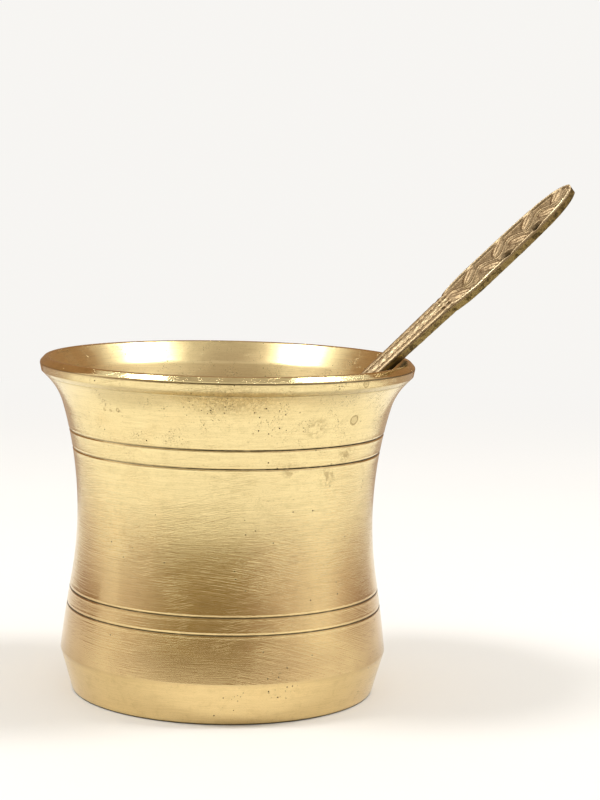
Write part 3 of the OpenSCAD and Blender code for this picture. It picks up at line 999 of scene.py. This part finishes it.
def turned_brass(finish):
    """Satin turned brass with polishing lines, hairlines, pits, dried drops, tarnish and soil, and painted
    shade low on the wall, inside the cup, under the lip, along the base and beside the spoon's handle.
    """
    made, place = new_material("turned_brass")
    soil, inside, lip = kept(place, CUP_MARKS)
    across, high = place.part(0), place.part(2)
    lines = turned_lines(place, Lines=5.0, Length=7.0, Wander=0.8)
    fine = turned_lines(place, Lines=11.0, Length=16.0, Wander=1.5)
    bands = turned_lines(place, Lines=1.1, Length=1.6, Wander=0.4)
    bowed = turned_lines(place, Lines=3.4, Length=2.8, Wander=0.3, Bow=0.0055)
    rubbed = tarnish(place, Scale=0.05, Share=0.75, Softness=0.25)
    bowed = bowed * (rubbed * high.to(*STROKED_WALL, 0.3, 1.0))
    hairs = most(*[
        hairlines(place, Slope=slope, Fineness=fineness, Share=share)
        for slope, fineness, share in ((0.30, 5.5, 0.9), (0.12, 6.5, 0.9), (-0.75, 4.5, 0.55))
    ])
    pits = cup_pits(place, high)
    cloud = tarnish(place, Scale=0.06, Share=0.55, Softness=0.4)
    mottle = tarnish(place, Scale=0.5, Share=0.55, Softness=0.25)
    speckle = stir(place, 3.2, 2.0, 0.7).to(0.56, 0.72)

    # Clean brass with its warmer clouds and the tone of the turning lines
    base = tint(finish.bright, finish.warm, cloud * 0.75)
    tone = lines.to(0.58, 0.36) * high.to(*FOOT_TOP, 0.3, 0.17) + bands.to(0.6, 0.4) * 0.06
    tone = tone + mottle * high.to(*FOOT_TOP, 0.36, 0.12) + speckle * 0.32
    base = tint(base, finish.stain, tone)
    base = tint(base, finish.warm, high.to(*LOW_WALL, 0.0, 0.55))

    # Painted shade low on the wall, at its sides and over the crease, and on the back of the inside, standing
    # in for the darker reflection there
    tall = place.vector("MULTIPLY", values={1: (1.0, 1.0, PAINTED_SHADE_HEIGHT)})
    aged = scattered(near_place, tall, [((x, y, PAINTED_SHADE_HEIGHT * z), radius) for (x, y, z), radius in PAINTED_SHADE_PLACES])
    aged = most(aged * cloud.to(0.0, 1.0, 0.75, 1.0), high.to(*OVER_CREASE, 0.0, 0.4))
    aged = aged * high.to(*FOOT_EDGE, 0.35, 1.0)
    aged = most(aged, scattered(near_place, place, INSIDE_PAINTED_SHADE) * (inside * 0.5))
    base = tint(base, finish.aged, aged)

    # Smudges, a smear under the lip and dried drops
    blotch = tarnish(place, Scale=0.8, Share=0.62, Softness=0.14)
    wide = place.vector("MULTIPLY", values={1: (SMEAR_WIDTH, SMEAR_WIDTH, 1.0)})
    smear = scattered(near_place, wide, UNDER_LIP) * stir(place, 1.6, 4.0, 0.7).to(0.35, 0.6, 0.3, 1.2)
    smudge = most(blotch * scattered(near_place, place, SMUDGES), smear)
    stained = most(smudge * 0.55, scattered(water_spot, place, WATER_SPOTS) * 0.8)
    base = tint(base, finish.stain, stained)

    # Soil in the grooves, fainter at the left of the upper pair, and in the pits, with a painted shadow of the
    # spoon on the lip's inner face beside its handle
    soil_and_shade_mask = soil * stir(place, 0.5, 3.0).to(0.25, 0.5, 0.75, 1.0)
    soil_and_shade_mask = soil_and_shade_mask * most(across.to(*LEFT_SIDE, 0.5, 1.0), high.to(*UNDER_UPPER_PAIR))
    soil_and_shade_mask = most(soil_and_shade_mask, pits * 0.95, scattered(near_place, place, SPOON_SHADOW_ON_LIP) * (inside * 0.85))
    base = tint(base, finish.soil, soil_and_shade_mask)

    rough = lines * 0.07 + (finish.cup_roughness - 0.03)
    rough = rough + inside * 0.12 - lip * 0.07 + stained * 0.2 + soil_and_shade_mask * 0.35
    height = (lines * 0.8 + fine * 0.45 + bowed * 3.2) * lip.to(0.0, 1.0, 1.0, 0.12)
    height = height - hairs * inside.to(0.0, 1.0, 0.6, 0.12) - pits * 2.5
    tangent = output_of(made.node_tree, "ShaderNodeTangent", 0, direction_type="RADIAL", axis="Z")
    return metal(made, base, rough, height, CUP_GRAIN, Tangent=tangent, **LINE_PULL)


def cast_brass(finish):
    """Dull cast brass with olive sides, brown hollows and rubbed ridges, painted highlights along the leaf's
    front border and painted shade under the handle inside the cup.
    """
    made, place = new_material("cast_brass")
    hollow, rubbed, side = kept(place, SPOON_MARKS)
    cloud = tarnish(place, Scale=0.35, Share=0.5, Softness=0.3)
    patch = tarnish(place, Scale=0.9, Share=0.45, Softness=0.2)
    grime = tarnish(place, Scale=0.6, Share=0.55, Softness=0.12)
    pits = pits_of(place, Spacing=0.8, Size=0.16, Share=0.5)
    hair = hairlines(place, Slope=-0.76, Fineness=6.0, Share=0.4)
    grain = stir(place, 2.4, 4.0, 0.65)

    base = tint(finish.cast, finish.olive, cloud * 0.45)
    base = tint(base, finish.olive, side * 0.85)
    # Rubbed brass: wear on the ridges and painted highlights along the leaf's front border
    worn_and_highlight = rubbed * patch.to(0.0, 1.0, 1.0, 0.45)
    base = tint(base, finish.rubbed, worn_and_highlight)
    # Hollow values also carry painted shade under the handle inside the cup: brown up to one, soil beyond
    deep = hollow * grain.to(0.3, 0.62, 1.0, 0.55)
    base = tint(base, finish.brown, deep.reckon("MINIMUM", deep, 1.0))
    dark = most(pits * 0.55, hollow - 1.0, most(grime, patch) * (side * 0.6))
    base = tint(base, finish.soil, dark)
    rough = dark * 0.3 + finish.spoon_roughness - worn_and_highlight * 0.14
    return metal(made, base, rough, grain - pits * 0.9 - hair * 0.3, SPOON_GRAIN)


# Stage materials

# Distances from the cup, in millimetres, between which the floor fades into the surround
FLOOR_FADE = (130.0, 620.0)
# Shares of the ring card's height between which it fades into the surround
RING_FADE = (0.77, 0.95)
DIM, FAIR, BROWN = (0.60, 0.50, 0.45), (0.84, 0.75, 0.70), (0.50, 0.39, 0.33)


def seen_rays(tree):
    """One for the rays of the camera and of mirrors, and nothing for the rays that light matt surfaces."""
    path = put(tree, "ShaderNodeLightPath").outputs
    return most(*[Value(tree, path[f"Is {kind} Ray"]) for kind in ("Camera", "Glossy", "Transmission")])


def glowing(tree, tone):
    """A light of one tone."""
    return output_of(tree, "ShaderNodeEmission", 0, {"Color": solid(tone)})


def pale_floor(stage):
    """A pale matt floor that fades into the surround away from the cup."""
    made, place = new_material("pale_floor")
    tree = made.node_tree
    uneven = stir(place, 0.004, 2.0).to(0.3, 0.7)
    base = tint(stage.floor, [0.98 * x for x in stage.floor], uneven)
    matt = output_of(tree, "ShaderNodeBsdfPrincipled", 0, {
        "Base Color": base, "Roughness": 0.75, "Specular IOR Level": 0.2,
    })
    far = place.vector("LENGTH", "Value").to(*FLOOR_FADE) * seen_rays(tree)
    glow = glowing(tree, stage.sky)
    return surfaced(made, output_of(tree, "ShaderNodeMixShader", 0, {0: far, 1: matt, 2: glow}))


def plain_glow(name, rgb):
    """A card of one even tone."""
    made = new_material(name)[0]
    return surfaced(made, glowing(made.node_tree, rgb))


def card_tone(name, stage, top):
    """A card whose tone changes round the cup: dark before it, greyer at the right, pale elsewhere."""
    made, place = new_material(name)
    turn = place.reckon("ARCTAN2", place.part(1), place.part(0)) / math.tau + 0.5
    ramp = put(made.node_tree, "ShaderNodeValToRGB", {0: turn})
    tones = (
        (0.0, (0.68, 0.58, 0.52)), (0.03, DIM), (0.135, stage.card), (0.25, stage.card),
        (0.30, (0.40, 0.31, 0.24)), (0.36, DIM), (0.42, FAIR), (0.455, FAIR), (0.51, (0.60, 0.48, 0.42)),
        (0.57, BROWN), (0.85, BROWN), (0.89, (0.56, 0.44, 0.40)), (0.94, FAIR), (0.965, FAIR),
    )
    points = ramp.color_ramp.elements
    for index, (at, rgb) in enumerate(tones):
        point = points[index] if index < 2 else points.new(at)
        point.position, point.color = at, solid(rgb)
    tone = Value(made.node_tree, ramp.outputs[0])
    if top:
        tone = tint(tone, stage.sky, place.part(2).to(*[part * top / MM for part in RING_FADE]))
    return surfaced(made, glowing(made.node_tree, tone))


# Operators

# The floor's radius in metres, the ring card's height as a share of its radius, and the facets of both
FLOOR_R, RING_HIGH, STAGE_TURNS = 6.0, 0.8, 96

# The rear card's half width, its height as a share of that width, and its place
REAR_HALF, REAR_HEIGHT, REAR_PLACE = 1.2, 0.375, (0, 0.42, 0.45)

# The overhead card's radius, height and facets
OVERHEAD_R, OVERHEAD_Z, OVERHEAD_TURNS = 1.5, 2.4, 64

# The right lamp, which the left one mirrors: its place, aim, size and share of matt light
LAMP_PLACE, LAMP_AIM, LAMP_SIZE, LAMP_SHARE = (0.62, -0.06, 1.02), (0, 0, 0.05), 0.34, 0.6

# The camera as fitted to the photo: yaw, fall and roll in degrees, then lens and sensor in millimetres
CAMERA_PLACE, CAMERA_TURN, LENS, SENSOR = (-0.05670, -0.46181, 0.12193), (9.01, 6.86, 1.34), 93.59, 36.0
CLIP_NEAR, CLIP_FAR = 0.01, 50.0


class BRASSCUP_OT_cup(bpy.types.Operator):
    """Turns the cup from its profile and gives it its brass"""
    bl_idname = "brasscup.cup"
    bl_label = "Turn the cup"

    def execute(self, context):
        scene = context.scene
        s = in_millimetres(scene.brass_cup)
        mesh = to_mesh(spun(cup_profile(s), s.turns), "turned_cup")
        if len(mesh.polygons) == 0:
            raise RuntimeError("the cup's profile gave no faces")
        curves = cup_curves(s)
        store(mesh, CUP_MARKS, [
            cup_marks(s, curves, math.hypot(v.co.x, v.co.y), v.co.z) for v in mesh.vertices
        ])
        mesh.transform(Matrix.Scale(MM, 4))
        mesh.materials.append(turned_brass(scene.brass_finish))
        cup = new_object("turned_cup", mesh)
        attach(cup, "vessel")
        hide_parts("vessel")
        return {"FINISHED"}


class BRASSCUP_OT_spoon(bpy.types.Operator):
    """Casts the spoon with its carved handle and lays it in the cup"""
    bl_idname = "brasscup.spoon"
    bl_label = "Cast the spoon"

    def execute(self, context):
        scene = context.scene
        s = in_millimetres(scene.brass_spoon)
        b = bowl_curves(s)
        mesh = joined(bowl_mesh(b), handle_mesh(s, b), "cast_spoon")
        if len(mesh.polygons) == 0:
            raise RuntimeError("the spoon's bowl and handle didn't join")
        store(mesh, SPOON_MARKS, [spoon_marks(s, b, v.co) for v in mesh.vertices])
        for face in mesh.polygons:
            face.use_smooth = True
        seat = Matrix.Translation((s.ball_x, 0, s.ball_z)) @ Matrix.Rotation(-s.lean, 4, "Y")
        drop = b.centre * math.cos(s.roll)
        seat = seat @ Matrix.Translation((0, 0, -drop)) @ Matrix.Rotation(s.roll, 4, "X")
        mesh.transform(Matrix.Scale(MM, 4) @ seat)
        mesh.materials.clear()
        mesh.materials.append(cast_brass(scene.brass_finish))
        spoon = new_object("cast_spoon", mesh)
        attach(spoon, "spoon")
        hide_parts("spoon")
        return {"FINISHED"}


class BRASSCUP_OT_stage(bpy.types.Operator):
    """Sets the floor, the surround, the lamps and the camera"""
    bl_idname = "brasscup.stage"
    bl_label = "Set the stage"

    def execute(self, context):
        scene, stage = context.scene, context.scene.brass_stage
        scene.view_settings.view_transform = "Standard"
        self.floor(stage)
        self.cards(stage)
        self.surround(scene, stage)
        self.lamps(stage)
        self.camera(scene)
        return {"FINISHED"}

    def floor(self, stage):
        bm = bmesh.new()
        bmesh.ops.create_circle(bm, cap_ends=True, segments=STAGE_TURNS, radius=FLOOR_R)
        floor = new_object("floor", to_mesh(bm, "floor"))
        floor.data.materials.append(pale_floor(stage))

    def band(self, start, end):
        bm = bmesh.new()
        ends = [bm.verts.new(start), bm.verts.new(end)]
        bmesh.ops.spin(bm, geom=ends + [bm.edges.new(ends)], cent=(0, 0, 0), axis=(0, 0, 1), dvec=(0, 0, 0),
                       angle=math.tau, steps=STAGE_TURNS, use_merge=True)
        return bm

    def cards(self, stage):
        ring, top = -stage.ring, RING_HIGH * stage.ring
        bm = self.band((-stage.card_near, 0, MM), (ring, 0, MM))
        self.card(bm, "floor_card", card_tone("floor_card", stage, 0.0))
        bm = self.band((ring, 0, 0), (ring, 0, top))
        self.card(bm, "ring_card", card_tone("ring_card", stage, top))
        bm = bmesh.new()
        bmesh.ops.create_grid(bm, x_segments=1, y_segments=1, size=REAR_HALF)
        upright = Matrix.Translation(REAR_PLACE) @ Matrix.Rotation(math.pi / 2, 4, "X")
        bmesh.ops.transform(bm, verts=bm.verts, matrix=upright @ Matrix.Diagonal((1, REAR_HEIGHT, 1, 1)))
        self.card(bm, "rear_card", plain_glow("rear_card", stage.rear))
        bm = bmesh.new()
        bmesh.ops.create_circle(bm, cap_ends=True, segments=OVERHEAD_TURNS, radius=OVERHEAD_R)
        bmesh.ops.translate(bm, verts=bm.verts, vec=(0, 0, OVERHEAD_Z))
        self.card(bm, "overhead_card", plain_glow("overhead_card", stage.overhead))

    def card(self, bm, name, material):
        bmesh.ops.remove_doubles(bm, verts=bm.verts, dist=1e-6)
        card = new_object(name, to_mesh(bm, name))
        card.data.materials.append(material)
        card.visible_camera = card.visible_diffuse = card.visible_shadow = False

    def surround(self, scene, stage):
        world = bpy.data.worlds.new("surround")
        scene.world = world
        world.use_nodes = True
        tree = world.node_tree
        tree.nodes.clear()
        strength = seen_rays(tree).to(0.0, 1.0, stage.ambient, 1.0)
        sky = output_of(tree, "ShaderNodeBackground", 0, {"Color": solid(stage.sky), "Strength": strength})
        put(tree, "ShaderNodeOutputWorld", {"Surface": sky})

    def lamps(self, stage):
        for name, side in (("lamp_right", 1), ("lamp_left", -1)):
            lamp = bpy.data.lights.new(name, "AREA")
            lamp.shape, lamp.size, lamp.energy = "DISK", LAMP_SIZE, stage.lamp_power
            lamp.diffuse_factor = LAMP_SHARE
            made = new_object(name, lamp)
            made.location = (side * LAMP_PLACE[0], *LAMP_PLACE[1:])
            made.rotation_euler = (Vector(LAMP_AIM) - made.location).to_track_quat("-Z", "Y").to_euler()
            made.visible_camera = False

    def camera(self, scene):
        data = bpy.data.cameras.new("camera")
        data.lens, data.sensor_width = LENS, SENSOR
        data.clip_start, data.clip_end = CLIP_NEAR, CLIP_FAR
        made = new_object("camera", data)
        yaw, fall, roll = (math.radians(a) for a in CAMERA_TURN)
        turn = Matrix.Rotation(math.pi / 2 - fall, 4, "X") @ Matrix.Rotation(roll, 4, "Z")
        made.matrix_world = Matrix.Translation(CAMERA_PLACE) @ Matrix.Rotation(-yaw, 4, "Z") @ turn
        scene.camera = made


class BRASSCUP_PT_panel(bpy.types.Panel):
    """Lists the pieces and their sizes"""
    bl_idname = "BRASSCUP_PT_panel"
    bl_label = "Brass cup"
    bl_space_type = "VIEW_3D"
    bl_region_type = "UI"
    bl_category = "Brass cup"

    def draw(self, context):
        scene = context.scene
        for operator, group in (
            (BRASSCUP_OT_cup, scene.brass_cup), (BRASSCUP_OT_spoon, scene.brass_spoon),
            (BRASSCUP_OT_stage, scene.brass_stage), (None, scene.brass_finish),
        ):
            box = self.layout.box()
            if operator:
                box.operator(operator.bl_idname)
            for name in group.__annotations__:
                box.prop(group, name)


CLASSES = (
    CupSizes, SpoonSizes, BrassFinish, StageSettings,
    BRASSCUP_OT_cup, BRASSCUP_OT_spoon, BRASSCUP_OT_stage, BRASSCUP_PT_panel,
)
GROUPS = {
    "brass_cup": CupSizes, "brass_spoon": SpoonSizes, "brass_finish": BrassFinish, "brass_stage": StageSettings,
}


def register():
    for made in CLASSES:
        bpy.utils.register_class(made)
    for name, group in GROUPS.items():
        setattr(bpy.types.Scene, name, PointerProperty(type=group))


def unregister():
    for name in GROUPS:
        delattr(bpy.types.Scene, name)
    for made in reversed(CLASSES):
        bpy.utils.unregister_class(made)


def main():
    register()
    bpy.ops.brasscup.cup()
    bpy.ops.brasscup.spoon()
    bpy.ops.brasscup.stage()


if __name__ == "__main__":
    main()
